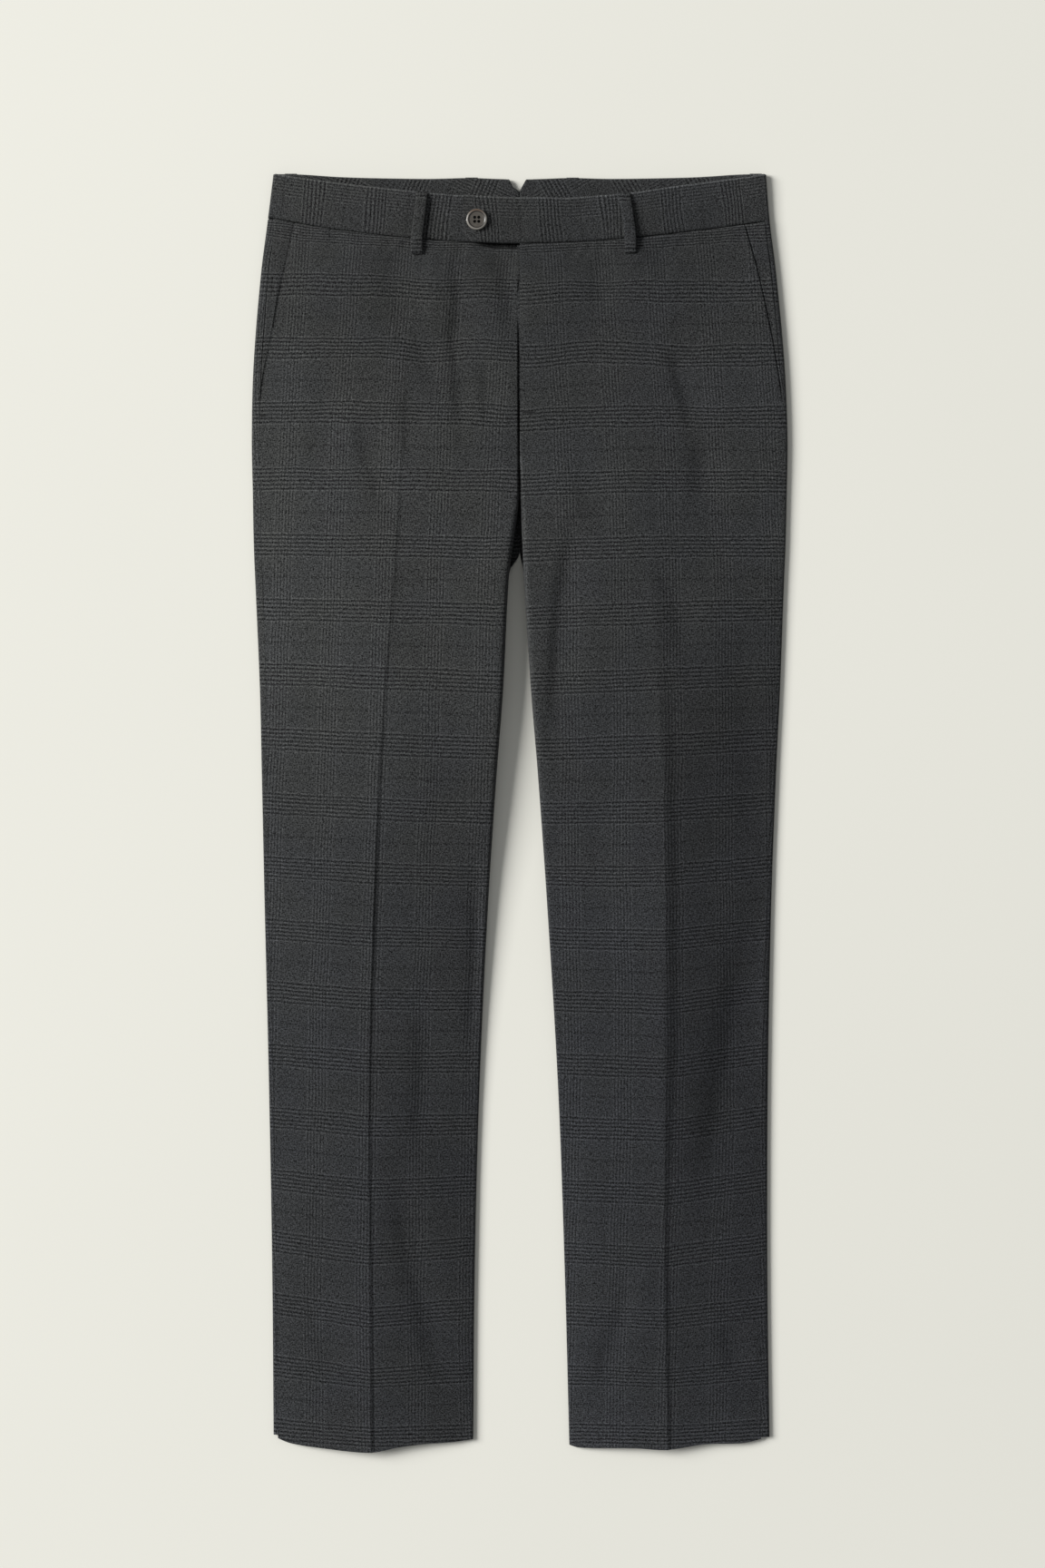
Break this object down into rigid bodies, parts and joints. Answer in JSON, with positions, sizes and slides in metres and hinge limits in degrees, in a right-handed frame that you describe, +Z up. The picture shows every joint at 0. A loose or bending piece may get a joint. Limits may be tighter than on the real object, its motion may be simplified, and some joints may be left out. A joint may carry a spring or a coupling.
{
  "type": "chinos",
  "caption": "Tailored charcoal glen-check chinos laid flat, front up, with pressed creases, slanted pockets, belt loops and a buttoned extension tab on the waistband.",
  "frame": {"origin": "on the surface that the garment lies on, under the middle of its bounding box", "axes": "+X to the wearer's left, +Y to the waist, +Z up from the surface, front side up"},
  "size_m": [0.4558, 1.0861, 0.0246],
  "materials": {
    "check_cloth": "matt brushed suiting, charcoal melange with a tonal glen check along the legs",
    "band_cloth": "the same suiting over stiffening, its long grain round the waist",
    "bias_cloth": "the same suiting cut on the bias",
    "loop_cloth": "the same suiting folded into narrow strips",
    "horn": "satin horn-like button, grey-brown with a pale rim",
    "thread": "dark polyester sewing thread"
  },
  "bodies": {
    "root": {"front_right": "check_cloth", "front_left": "check_cloth", "back_right": "check_cloth", "back_left": "check_cloth", "pocket_facing_right": "check_cloth", "pocket_facing_left": "check_cloth", "fly_underlap": "check_cloth", "waistband_right": "band_cloth", "waistband_left": "band_cloth", "waistband_facing_right": "bias_cloth", "waistband_facing_left": "bias_cloth", "belt_loop_front_right": "loop_cloth", "belt_loop_front_left": "loop_cloth", "belt_loop_side_right": "loop_cloth", "belt_loop_side_left": "loop_cloth", "belt_loop_back_right": "loop_cloth", "belt_loop_back_left": "loop_cloth", "button": "horn", "button_thread": "thread"}
  },
  "joints": []
}
